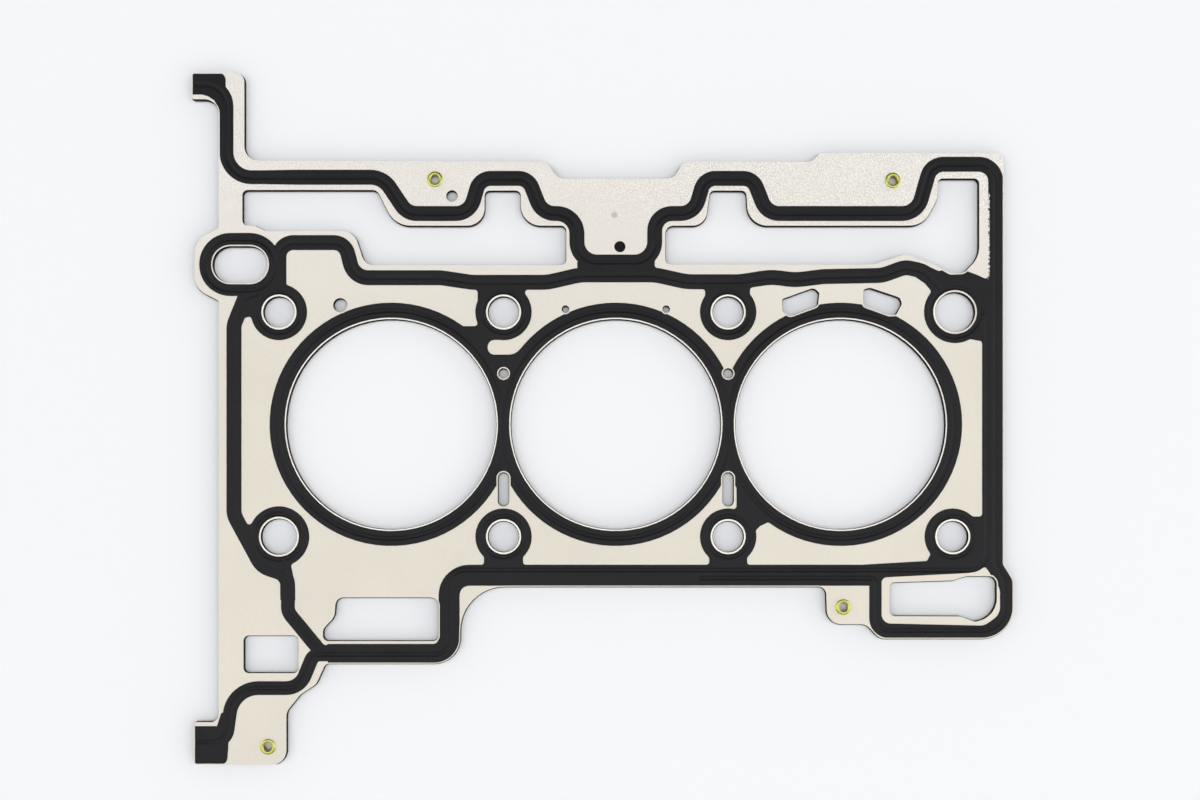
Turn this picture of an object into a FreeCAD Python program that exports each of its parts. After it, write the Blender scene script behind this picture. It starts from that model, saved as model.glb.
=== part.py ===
"""Cylinder head gasket of a three-cylinder engine, lying flat, in millimetres.

Two thin spring-steel sheets lie on either side of a plain spacer sheet. Sealing beads are pressed into them,
hollow on the outer face, and stand on the spacer with their crests. The outer faces carry a black elastomer
film along the beads, and four rolled eyelets hold the sheets together.

The origin is the centre of the middle cylinder opening, +X runs along the row of cylinders towards the
gearbox end, +Y towards the oil gallery side and +Z up. The gasket rests on its eyelets at z = 0.
"""
import FreeCAD, Part
import Sketcher
import math
import os

Vector = FreeCAD.Vector

SIZES = [
    ("bore_pitch", 78.0, "between neighbouring cylinder centres, and between bolt holes"),
    ("bolt_rows", 78.0, "between the two rows of bolt holes"),
    ("bore_opening", 73.2, "diameter of a cylinder opening"),
    ("bolt_hole", 11.0, "diameter of a head bolt hole"),
    ("back_dowel_hole", 14.0, "diameter of the dowel hole at the back of the upper row"),
    ("front_dowel_hole", 12.7, "diameter of the dowel hole at the front of the lower row"),
    ("active_sheet", 0.25, "thickness of an embossed sheet"),
    ("spacer_sheet", 0.7, "thickness of the spacer sheet"),
    ("film", 0.05, "thickness of the elastomer film"),
    ("bead_height", 0.2, "depth of a full sealing bead"),
    ("jacket_bead", 0.1, "depth of the bead along the coolant jacket"),
    ("bead_width", 1.8, "width of a bead at the sheet's face"),
    ("bead_crest", 0.6, "width of the flat crest of a bead"),
    ("film_width", 5.2, "width of the film along a bead"),
    ("slim_film", 4.8, "width of the film along the beads at the front corners"),
    ("wide_film", 7.3, "width of the film along the lower sill and the back edge"),
    ("bolt_film", 3.7, "width of the film ring round a bolt hole"),
    ("back_dowel_film", 3.2, "width of the film ring round the back dowel hole"),
    ("front_dowel_film", 3.6, "width of the film ring round the front dowel hole"),
    ("bolt_bead", 1.6, "from the edge of a bolt or dowel hole to the bead line round it"),
    ("film_gap", 0.45, "bare steel between the film and an opening"),
    ("bolt_rim", 0.6, "bare steel between the film and a bolt or dowel hole"),
    ("dowel_shift", 0.8, "from the last bolt column back to the back dowel hole"),
    ("film_edge", 0.35, "bare steel between the film and the outer edge"),
    ("film_round", 1.0, "radius in the inner corners of the film"),
    ("bead_to_opening", 4.2, "from a bead line to the edge of a passage beside it"),
    ("front_run", 18.2, "from the first bolt column forward to the front bead line"),
    ("back_run", 14.9, "from the last bolt column back to the back bead line"),
    ("jacket_back_run", 12.0, "from the last bolt column back to the jacket bead line"),
    ("jacket_front_run", 15.6, "from the first bolt column forward to the jacket bead line"),
    ("rail", 46.6, "from the upper bolt row to the high run of the oil bead"),
    ("back_rail", 51.3, "from the upper bolt row to the high run over the last bolt column"),
    ("trough", 34.2, "from the upper bolt row to the low run of the oil bead"),
    ("valley_floor", 17.35, "from the upper bolt row to the floor of the middle valley"),
    ("valley_half", 13.5, "half width of the middle valley between bead lines"),
    ("dome_top", 8.4, "half width of a dome of the oil bead at its top"),
    ("dome_foot", 12.6, "half width of a dome of the oil bead at its foot"),
    ("dome_shift", 0.8, "from a bolt column back to the middle of its dome's foot"),
    ("dome_lean", 0.6, "from the middle of a dome's foot forward to the middle of its top"),
    ("jacket_line", 11.9, "from the upper bolt row to the jacket bead line"),
    ("jacket_step", 24.1, "from the upper bolt row to the jacket bead line at the front"),
    ("sill_bead", 11.6, "from the lower bolt row to the bead line of the sill"),
    ("sill_film", 13.4, "from the lower bolt row to the middle of the sill film"),
    ("drain_bead", 14.4, "from the lower bolt row to the top line of the drain loop"),
    ("drain_floor", 32.6, "from the lower bolt row to the bottom line of the drain loop"),
    ("drain_front", 26.4, "from the last bolt column forward to the drain loop"),
    ("drain_back", 18.2, "from the last bolt column back to the drain loop"),
    ("cover_line", 40.9, "from the lower bolt row to the bead line of the front corner"),
    ("cover_foot", 52.6, "from the lower bolt row to the low run of the front corner bead"),
    ("cover_back", 18.9, "from the second bolt column forward to the front corner's step"),
    ("front_edge", 20.9, "from the first bolt column to the front edge"),
    ("back_edge", 17.7, "from the last bolt column to the back edge"),
    ("top_edge", 52.2, "from the upper bolt row to the top edge"),
    ("valley_edge", 46.3, "from the upper bolt row to the top edge over the valley"),
    ("back_top_edge", 55.2, "from the upper bolt row to the top edge at the back"),
    ("bottom_edge", 17.35, "from the lower bolt row to the bottom edge"),
    ("front_bottom", 44.1, "from the lower bolt row to the bottom of the front corner"),
    ("drain_edge", 35.45, "from the lower bolt row to the edge under the drain loop"),
    ("lug_reach", 30.3, "from the first bolt column to the front of the joint lugs"),
    ("upper_lug_top", 83.1, "from the upper bolt row to the top of the upper lug"),
    ("upper_lug_foot", 73.9, "from the upper bolt row to the underside of the upper lug"),
    ("upper_lug_back", 12.0, "from the first bolt column to the back of the upper lug"),
    ("lower_lug_foot", 79.2, "from the lower bolt row to the bottom of the lower lug"),
    ("lower_lug_top", 64.4, "from the lower bolt row to the top of the lower lug"),
    ("lower_lug_back", 2.6, "from the first bolt column to the back of the lower lug"),
    ("oil_hole_length", 19.2, "length of the oblong oil hole"),
    ("oil_hole_width", 12.8, "width of the oblong oil hole"),
    ("oil_hole_forward", 13.5, "from the first bolt column forward to the oblong oil hole"),
    ("oil_hole_up", 16.5, "from the upper bolt row to the oblong oil hole"),
    ("oil_hole_film", 4.1, "width of the film ring round the oblong oil hole"),
    ("web_slot_length", 11.9, "length of a cooling slot between cylinders"),
    ("web_slot_width", 4.0, "width of a cooling slot between cylinders"),
    ("web_slot_drop", 22.6, "from the cylinder line down to a cooling slot"),
    ("web_hole", 3.6, "diameter of a cooling hole between cylinders"),
    ("web_hole_rise", 17.7, "from the cylinder line up to a cooling hole"),
    ("bleed_hole", 2.6, "diameter of a bleed hole above the middle cylinder"),
    ("bleed_hole_half", 17.5, "from the middle cylinder to a bleed hole along the row"),
    ("bleed_hole_rise", 40.0, "from the cylinder line up to a bleed hole"),
    ("vent_hole", 4.9, "diameter of the vent hole above the first cylinder"),
    ("return_hole", 4.0, "diameter of the small hole in the front rail"),
    ("sheet_window", 3.9, "diameter of the window in the outer sheets"),
    ("eyelet_flange", 5.5, "diameter of an eyelet's rolled flange"),
    ("eyelet_bore", 2.9, "inner diameter of an eyelet"),
    ("eyelet_wall", 0.3, "wall of an eyelet's barrel"),
    ("eyelet_roll", 0.4, "height of an eyelet's rolled flange"),
]


def make_sheet_of_sizes(doc):
    """Write the sizes to the document's spreadsheet and return them by alias."""
    sheet = doc.addObject("Spreadsheet::Sheet", "dims")
    for row, (alias, value, note) in enumerate(SIZES, start=1):
        sheet.set(f"A{row}", alias)
        sheet.set(f"B{row}", str(value))
        sheet.set(f"C{row}", note)
        sheet.setAlias(f"B{row}", alias)
    doc.recompute()
    return {alias: float(sheet.get(alias)) for alias, _, _ in SIZES}


doc = FreeCAD.newDocument("head_gasket")
size = make_sheet_of_sizes(doc)

# Bolt columns from front to back, and bolt rows. The cylinders lie midway between the columns
PITCH = size["bore_pitch"]
FIRST, SECOND, THIRD, LAST = (step * PITCH for step in (-1.5, -0.5, 0.5, 1.5))
UPPER, LOWER = size["bolt_rows"] / 2, -size["bolt_rows"] / 2
CYLINDERS = (-PITCH, 0.0, PITCH)

# Radii of the outlines' corners and of the bends of the bead lines
SHARP, SMALL, CORNER, ROUND, BEND, WAVE, SWEEP, SLOW = 1.0, 1.9, 2.8, 4.2, 5.0, 6.4, 7.0, 20.0


def unit(start, end):
    """Unit vector in the plane from one corner to the next."""
    return Vector(end[0] - start[0], end[1] - start[1], 0).normalize()


def shifted(corners, shift, closed=True):
    """Corners (x, y, radius) of the line that runs `shift` to the left of the given one."""
    moved, last = [], len(corners) - 1
    for i, (x, y, radius) in enumerate(corners):
        before = corners[i - 1] if closed or i > 0 else None
        after = corners[(i + 1) % len(corners)] if closed or i < last else None
        into = unit(before, corners[i]) if before else unit(corners[i], after)
        out = unit(corners[i], after) if after else into
        turn = into.x * out.y - into.y * out.x
        side = Vector(-into.y - out.y, into.x + out.x, 0) * (shift / (1 + into.dot(out)))
        new_radius = max(radius - shift * math.copysign(1, turn), 0.0) if radius else 0.0
        moved.append((x + side.x, y + side.y, new_radius))
    return moved


def trims_of(corners, closed):
    """Length that each corner's arc takes from its two runs, shortened where two arcs would meet."""
    count = len(corners)
    wanted, runs = [], [math.dist(corners[i][:2], corners[(i + 1) % count][:2]) for i in range(count)]
    for i, (x, y, radius) in enumerate(corners):
        if radius == 0 or not closed and i in (0, count - 1):
            wanted.append(0.0)
            continue
        into, out = unit(corners[i - 1], corners[i]), unit(corners[i], corners[(i + 1) % count])
        wanted.append(radius * math.tan(math.acos(max(-1.0, min(1.0, into.dot(out)))) / 2))
    room = [0.98 * run / max(wanted[i] + wanted[(i + 1) % count], 1e-9) for i, run in enumerate(runs)]
    return [length * min(1.0, room[i - 1], room[i]) for i, length in enumerate(wanted)]


def rounded(corners, closed=True):
    """Lines and arcs along a row of corners (x, y, radius)."""
    count, trims = len(corners), trims_of(corners, closed)
    points, edges = [Vector(x, y, 0) for x, y, _ in corners], []
    for i in range(count if closed else count - 1):
        j = (i + 1) % count
        way = unit(corners[i], corners[j])
        edges.append(Part.LineSegment(points[i] + way * trims[i], points[j] - way * trims[j]))
        if trims[j]:
            out = unit(corners[j], corners[(j + 1) % count])
            cosine = math.cos(math.acos(way.dot(out)) / 2)
            depth = trims[j] * (1 - cosine) / math.sqrt(1 - cosine * cosine)
            middle = points[j] + (out - way).normalize() * depth
            edges.append(Part.Arc(points[j] - way * trims[j], middle, points[j] + out * trims[j]))
    return edges


def wire_of(corners, closed=True):
    return Part.Wire([edge.toShape() for edge in rounded(corners, closed)])


def face_of(corners, grow=0.0):
    """Flat face inside a closed row of corners that runs anticlockwise, grown outward all round."""
    return Part.Face(wire_of(shifted(corners, -grow) if grow else corners))


def disc(x, y, radius):
    return Part.Face(Part.Wire(Part.makeCircle(radius, Vector(x, y, 0))))


def band(corners, width):
    """Flat strip of a width along an open line of corners."""
    left = shifted(corners, width / 2, closed=False)
    right = shifted(corners, -width / 2, closed=False)
    sides = rounded(left, closed=False), rounded(right, closed=False)
    edges = [edge.toShape() for side in sides for edge in side]
    for k in (0, -1):
        edges.append(Part.makeLine(Vector(*left[k][:2], 0), Vector(*right[k][:2], 0)))
    return Part.Face(Part.Wire(Part.__sortEdges__(edges)))


def stadium(x, y, length, width, along_x=True):
    """Corners of a slot with round ends."""
    half, radius = length / 2, width / 2 - 0.001
    dx, dy = (half, width / 2) if along_x else (width / 2, half)
    return [(x - dx, y - dy, radius), (x + dx, y - dy, radius),
            (x + dx, y + dy, radius), (x - dx, y + dy, radius)]


def outline_corners():
    """Outer edge of every sheet, anticlockwise from the foot of the lower lug."""
    s = size
    front, back = FIRST - s["front_edge"], LAST + s["back_edge"]
    lug = FIRST - s["lug_reach"]
    lug_back, lower_lug_back = FIRST - s["upper_lug_back"], FIRST + s["lower_lug_back"]
    foot = LOWER - s["lower_lug_foot"]
    corner_floor, bottom = LOWER - s["front_bottom"], LOWER - s["bottom_edge"]
    drain_floor, drain_back = LOWER - s["drain_edge"], LAST + s["drain_back"] + s["film_width"] / 2 + 0.3
    step = SECOND - s["cover_back"] + s["wide_film"] / 2 + 0.2
    tab, tab_floor = THIRD + 34.4, LOWER - s["drain_edge"] + 5.05
    top, valley, back_top = UPPER + s["top_edge"], UPPER + s["valley_edge"], UPPER + s["back_top_edge"]
    oil_x, oil_y = FIRST - s["oil_hole_forward"], UPPER + s["oil_hole_up"]
    oil_rim = s["oil_hole_film"] + 2.1
    oil_front = oil_x - s["oil_hole_length"] / 2 - oil_rim
    oil_low, oil_high = oil_y - s["oil_hole_width"] / 2 - oil_rim, oil_y + s["oil_hole_width"] / 2 + oil_rim
    return [
        (lug + 0.8, foot, SHARP), (lower_lug_back, foot, BEND),
        (lower_lug_back, corner_floor - 16.8, ROUND), (FIRST + 7.5, corner_floor - 10.7, ROUND),
        (FIRST + 12.9, corner_floor - 7.2, ROUND), (FIRST + 16.2, corner_floor, SMALL),
        (step, corner_floor, 9.0), (step, bottom, 15.5),
        (tab - 0.4, bottom, CORNER), (tab, tab_floor, BEND),
        (LAST - 30.2, tab_floor, ROUND), (LAST - 25.3, drain_floor, ROUND),
        (drain_back, drain_floor, 11.0), (drain_back, LOWER - 15.0, BEND),
        (back, LOWER - 9.5, SMALL), (back, back_top, 2.4),
        (THIRD + 31.9, back_top, CORNER), (THIRD + 28.8, top, CORNER),
        (THIRD - 15.7, top, 4.5), (THIRD - 18.9, valley, 3.9),
        (SECOND + 19.0, valley, 3.9), (SECOND + 15.1, top, 4.5),
        (lug_back, top + 0.4, BEND), (lug_back, UPPER + s["upper_lug_top"], 3.2),
        (lug, UPPER + s["upper_lug_top"], SHARP), (lug, UPPER + s["upper_lug_foot"], SHARP),
        (front, UPPER + s["upper_lug_foot"], BEND), (front, oil_high, SHARP),
        (oil_front, oil_high - 4.3, SWEEP), (oil_front, oil_low + 4.3, SWEEP),
        (front, oil_low, SHARP), (front, LOWER - s["lower_lug_top"], CORNER),
        (lug + 0.8, LOWER - s["lower_lug_top"], SHARP),
    ]


def oil_bead():
    """Line of the bead that shuts the oil side off, from the upper lug round to the drain loop."""
    s = size
    front, back = FIRST - s["front_run"], LAST + s["back_run"]
    rail, trough, back_rail = UPPER + s["rail"], UPPER + s["trough"], UPPER + s["back_rail"]
    valley, floor = s["valley_half"], UPPER + s["valley_floor"]
    lug_line = UPPER + s["upper_lug_top"] - 4.2
    line = [(FIRST - s["lug_reach"] + s["film_edge"], lug_line, 0), (front, lug_line, 7.5),
            (front, rail + 0.2, 8.7), (SECOND - 41.9, rail + 0.2, 8.0), (SECOND - 33.5, trough, WAVE)]
    for column, floor_x in ((SECOND, -valley), (THIRD, None)):
        foot = column + s["dome_shift"]
        top, dome = foot - s["dome_lean"], rail - 0.2
        line += [(foot - s["dome_foot"], trough, WAVE), (top - s["dome_top"], dome, BEND),
                 (top + s["dome_top"], dome, BEND), (foot + s["dome_foot"], trough, WAVE)]
        if floor_x:
            line += [(floor_x, trough, SWEEP), (floor_x, floor, SWEEP),
                     (-floor_x, floor, SWEEP), (-floor_x, trough, 6.0)]
    drain_back, drain_front = LAST + s["drain_back"], LAST - s["drain_front"]
    drain_floor, drain_top = LOWER - s["drain_floor"], LOWER - s["drain_bead"]
    line += [(LAST - 12.4, trough, SWEEP), (LAST - 7.5, back_rail, 5.6), (back, back_rail, 5.8),
             (back, LOWER - 8.8, ROUND), (drain_back, LOWER - 15.8, ROUND), (drain_back, drain_floor, 8.3),
             (drain_front, drain_floor, ROUND), (drain_front, drain_top, CORNER),
             (THIRD - 10.0, drain_top, 0)]
    return line


def cover_bead():
    """Line of the bead from the lower lug up to the front corner."""
    s = size
    lug_line, foot = LOWER - s["lower_lug_top"] - 6.9, LOWER - s["cover_foot"]
    corner = LOWER - s["cover_line"]
    return [(FIRST - s["lug_reach"] + 0.8 + s["film_edge"], lug_line, 0), (FIRST - 18.4, lug_line, BEND),
            (FIRST - 15.9, foot, 10.0), (FIRST + 7.2, foot, SWEEP), (FIRST + 12.0, corner, 3.4),
            (FIRST + 19.5, corner, 0)]


def sill_bead():
    """Line of the bead from the front dowel round the front corner, along the sill and up the back."""
    s = size
    corner, sill = LOWER - s["cover_line"], LOWER - s["sill_bead"]
    step, back = SECOND - s["cover_back"], LAST + s["jacket_back_run"]
    return [(FIRST + 1.4, LOWER - 8.0, 0), (FIRST + 3.2, LOWER - 17.0, SWEEP), (FIRST + 3.1, LOWER - 26.1, BEND),
            (FIRST + 15.3, corner, CORNER),
            (step, corner, BEND), (step, sill, BEND), (back, sill, 6.0), (back, UPPER, 2.4),
            (LAST + 9.2, UPPER, 0)]


def sill_film():
    """Middle line of the wide film along the front corner and the sill."""
    s = size
    corner, sill, step = LOWER - s["cover_line"], LOWER - s["sill_film"], SECOND - s["cover_back"]
    return [(FIRST + 17.0, corner, 0), (step, corner, 5.6), (step, sill, SWEEP), (LAST + 8.0, sill, 0)]


def jacket_bead():
    """Line of the bead over the coolant jacket, from the first bolt hole to the back dowel hole."""
    s = size
    step, line = UPPER + s["jacket_step"], UPPER + s["jacket_line"]
    return [(FIRST, UPPER + 7.0, 0), (FIRST, step, BEND), (FIRST + 22.9, step, BEND),
            (FIRST + 26.1, line, WAVE), (SECOND - 21.7, line, SLOW), (SECOND - 11.0, line - 1.6, SLOW),
            (SECOND + 15.3, line - 1.6, SLOW), (SECOND + 26.5, line + 1.0, SLOW),
            (THIRD - 25.2, line + 1.0, SLOW), (THIRD - 14.5, line - 1.4, SLOW),
            (THIRD + 4.1, line - 1.4, SLOW), (THIRD + 15.0, line + 0.3, SLOW),
            (THIRD + 23.2, line - 0.8, SLOW), (THIRD + 33.0, line + 0.4, SLOW),
            (LAST - 24.5, line + 0.8, 10.0), (LAST - 16.5, line + 3.7, WAVE),
            (LAST - 9.8, line + 2.2, WAVE), (LAST - 3.8, UPPER + 7.5, 0)]


def jacket_front_bead():
    """Line of the bead down the front of the coolant jacket, from the oil hole to the front dowel."""
    front = FIRST - size["jacket_front_run"]
    return [(FIRST - 7.0, UPPER + 6.5, 0), (FIRST - 11.8, UPPER + 5.0, SMALL), (front, UPPER - 4.5, SWEEP),
            (front, LOWER + 7.5, SWEEP), (FIRST - 5.9, LOWER - 10.4, SWEEP), (FIRST + 3.0, LOWER - 13.3, BEND),
            (FIRST + 3.1, LOWER - 22.0, 0)]


def passages():
    """Closed corner rows of the openings with straight sides, through every sheet."""
    s = size
    gap = s["bead_to_opening"]
    rail, trough = UPPER + s["rail"] - gap, UPPER + s["trough"] - gap
    jacket, back_rail = UPPER + s["jacket_line"] + gap + 0.2, UPPER + s["back_rail"] - gap - 0.7
    dome, valley = s["dome_top"] - 2.1, s["valley_half"] + gap - 0.5
    front = FIRST - s["front_run"] + gap + 1.3
    back = LAST + s["back_run"] - gap - 1.5
    second, third = SECOND - 0.3, THIRD
    front_gallery = [
        (-valley, jacket, SMALL), (-valley, trough, SMALL), (second + dome, trough, SWEEP),
        (second + dome, rail - 0.2, SMALL), (second - dome, rail - 0.2, SMALL),
        (second - dome, trough, 6.0), (SECOND - 37.7, trough, 8.8), (SECOND - 43.9, rail, CORNER),
        (front, rail, SMALL), (front, trough, SMALL),
        (FIRST - 8.3, trough, CORNER), (FIRST - 4.8, trough - 1.9, SMALL), (FIRST + 26.0, trough - 1.9, 5.5),
        (FIRST + 29.9, jacket, ROUND),
    ]
    back_gallery = [
        (valley, jacket + 0.2, SMALL), (LAST - 27.7, jacket + 0.2, BEND), (LAST - 16.6, UPPER + 20.1, ROUND),
        (LAST - 6.2, UPPER + 16.5, CORNER), (LAST - 1.0, UPPER + 13.4, CORNER),
        (LAST + 3.9, UPPER + 13.6, CORNER), (back, UPPER + 19.0, 9.0), (back, back_rail, SMALL),
        (LAST - 5.3, back_rail, SMALL), (LAST - 5.3, trough + 9.3, 8.0), (LAST - 10.3, trough, 8.0),
        (third + 7.0, trough, SWEEP),
        (third + dome, rail - 0.2, SMALL), (third - dome, rail - 0.2, SMALL), (third - 8.0, trough, BEND),
        (valley, trough, CORNER),
    ]
    corner = LOWER - s["cover_line"] + gap + 0.4
    chain_window = [
        (FIRST + 15.3, corner, SMALL), (SECOND - 22.6, corner, SMALL), (SECOND - 22.6, LOWER - 21.1, CORNER),
        (FIRST + 19.8, LOWER - 21.1, CORNER), (FIRST + 19.3, LOWER - 27.9, BEND),
        (FIRST + 15.3, LOWER - 32.1, CORNER),
    ]
    tensioner_window = [
        (FIRST - 12.3, LOWER - 47.4, SMALL), (FIRST + 6.8, LOWER - 47.4, SMALL),
        (FIRST + 6.8, LOWER - 34.3, SMALL), (FIRST - 12.3, LOWER - 34.3, SMALL),
    ]
    floor, drain_front = LOWER - s["drain_floor"] + gap + 0.8, LAST - s["drain_front"] + gap + 0.3
    drain_back = LAST + s["drain_back"] - gap + 1.3
    drain = [
        (drain_front, floor, SMALL), (LAST + 2.5, floor - 0.1, SMALL), (LAST + 7.7, floor - 2.0, SMALL),
        (drain_back, floor, 8.0), (drain_back, LOWER - 13.7, CORNER), (LAST + 4.6, LOWER - 13.7, CORNER),
        (LAST, LOWER - 15.2, CORNER), (drain_front, LOWER - 15.9, SMALL),
    ]
    return [front_gallery, back_gallery, chain_window, tensioner_window, drain]


def coolant_windows():
    """Closed corner rows of the two transfer windows above the last cylinder."""
    top = UPPER + 4.5
    front = [(THIRD + 21.5, top - 6.0, SMALL), (THIRD + 31.2, top - 2.4, SMALL), (THIRD + 31.7, top + 2.1, SHARP),
             (THIRD + 29.8, top + 4.0, SMALL), (THIRD + 18.7, top, SHARP), (THIRD + 19.0, top - 4.5, SHARP)]
    back = [(LAST - 31.0, top - 2.4, SHARP), (LAST - 22.2, top - 5.6, SMALL), (LAST - 19.7, top - 5.5, SHARP),
            (LAST - 17.6, top - 1.7, SMALL), (LAST - 18.3, top + 0.5, SMALL), (LAST - 28.8, top + 4.0, SMALL),
            (LAST - 31.0, top + 3.3, SHARP)]
    return [front, back]


def oil_hole():
    s = size
    return stadium(FIRST - s["oil_hole_forward"], UPPER + s["oil_hole_up"], s["oil_hole_length"],
                   s["oil_hole_width"])


def web_slots():
    s = size
    return [stadium(column, -s["web_slot_drop"], s["web_slot_length"], s["web_slot_width"], along_x=False)
            for column in (SECOND, THIRD)]


# Round holes in every sheet: name of the diameter, and where each one lies as expressions of the sizes
FIRST_X, SECOND_X, THIRD_X, LAST_X = (f"{step} * dims.bore_pitch" for step in (-1.5, -0.5, 0.5, 1.5))
UPPER_Y, LOWER_Y = "dims.bolt_rows / 2", "-dims.bolt_rows / 2"
ROUND_HOLES = [
    ("bolt_hole", FIRST_X, UPPER_Y), ("bolt_hole", SECOND_X, UPPER_Y), ("bolt_hole", THIRD_X, UPPER_Y),
    ("bolt_hole", SECOND_X, LOWER_Y), ("bolt_hole", THIRD_X, LOWER_Y), ("bolt_hole", LAST_X, LOWER_Y),
    ("back_dowel_hole", f"{LAST_X} + dims.dowel_shift", UPPER_Y), ("front_dowel_hole", FIRST_X, LOWER_Y),
    ("web_hole", SECOND_X, "dims.web_hole_rise"), ("web_hole", THIRD_X, "dims.web_hole_rise"),
    ("bleed_hole", "-dims.bleed_hole_half", "dims.bleed_hole_rise"),
    ("bleed_hole", "dims.bleed_hole_half", "dims.bleed_hole_rise"),
    ("vent_hole", f"{FIRST_X} + 21.3", f"{UPPER_Y} + 2.4"),
    ("return_hole", f"{SECOND_X} - 17.9", f"{UPPER_Y} + 40.3"),
]
EYELETS = [
    ("front_rail_eyelet", f"{SECOND_X} - 23.8", f"{UPPER_Y} + dims.top_edge - 6.1"),
    ("back_rail_eyelet", f"{LAST_X} - 20.8", f"{UPPER_Y} + dims.back_top_edge - 9.5"),
    ("front_lug_eyelet", f"{FIRST_X} + dims.lower_lug_back - 6.4", f"{LOWER_Y} - dims.lower_lug_foot + 6.2"),
    ("drain_eyelet", f"{THIRD_X} + 40", f"{LOWER_Y} - dims.drain_edge + 11"),
]
SHEET_WINDOW = [("sheet_window", f"{THIRD_X} - 37.6", f"{UPPER_Y} + dims.valley_floor + 5.35")]
EYELET_RADIUS = "dims.eyelet_bore / 2 + dims.eyelet_wall"


def origin_plane(body, role):
    return next(feature for feature in body.Origin.OriginFeatures if feature.Role == role)


def new_sketch(body, name, role="XY_Plane"):
    sketch = body.newObject("Sketcher::SketchObject", f"{body.Name}_{name}")
    sketch.AttachmentSupport = (origin_plane(body, role), "")
    sketch.MapMode = "FlatFace"
    return sketch


def draw(sketch, rows_of_corners):
    for corners in rows_of_corners:
        sketch.addGeometry(rounded(corners), False)


def add_circle(sketch, radius, x, y):
    """Circle whose radius and place are bound to expressions of the sizes."""
    index = sketch.addGeometry(Part.Circle(Vector(1, 1, 0), Vector(0, 0, 1), 1), False)
    bindings = [
        (Sketcher.Constraint("Radius", index, 1.0), radius),
        (Sketcher.Constraint("DistanceX", -1, 1, index, 3, 1.0), x),
        (Sketcher.Constraint("DistanceY", -1, 1, index, 3, 1.0), y),
    ]
    for constraint, expression in bindings:
        number = sketch.addConstraint(constraint)
        sketch.setExpression(f"Constraints[{number}]", expression)


def cut_through(body, sketch, name):
    """Pocket through the whole sheet, both ways from the sketch."""
    pocket = body.newObject("PartDesign::Pocket", f"{body.Name}_{name}")
    pocket.Profile = sketch
    pocket.Type = "ThroughAll"
    pocket.Midplane = True
    return pocket


def stamped_sheet(name, thickness, more_holes=()):
    """Flat sheet blanked to the outline, with every opening punched through it."""
    body = doc.addObject("PartDesign::Body", name)
    blank = new_sketch(body, "outline")
    draw(blank, [outline_corners()])
    pad = body.newObject("PartDesign::Pad", f"{name}_blank")
    pad.Profile = blank
    pad.setExpression("Length", f"dims.{thickness}")

    openings = new_sketch(body, "openings")
    draw(openings, passages() + coolant_windows() + [oil_hole()] + web_slots())
    cut_through(body, openings, "passages")

    holes = new_sketch(body, "holes")
    for diameter, x, y in [*ROUND_HOLES, *more_holes]:
        add_circle(holes, f"dims.{diameter} / 2", x, y)
    for _, x, y in EYELETS:
        add_circle(holes, EYELET_RADIUS, x, y)
    cut_through(body, holes, "round_holes")

    cylinder = new_sketch(body, "cylinder")
    add_circle(cylinder, "dims.bore_opening / 2", "-dims.bore_pitch", "0")
    pocket = cut_through(body, cylinder, "first_cylinder")
    pattern = body.newObject("PartDesign::LinearPattern", f"{name}_cylinders")
    pattern.Originals = [pocket]
    pattern.Direction = (cylinder, ["H_Axis"])
    pattern.Occurrences = len(CYLINDERS)
    pattern.setExpression("Length", f"{len(CYLINDERS) - 1} * dims.bore_pitch")
    body.Tip = pattern
    doc.recompute()
    return body, holes


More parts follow.
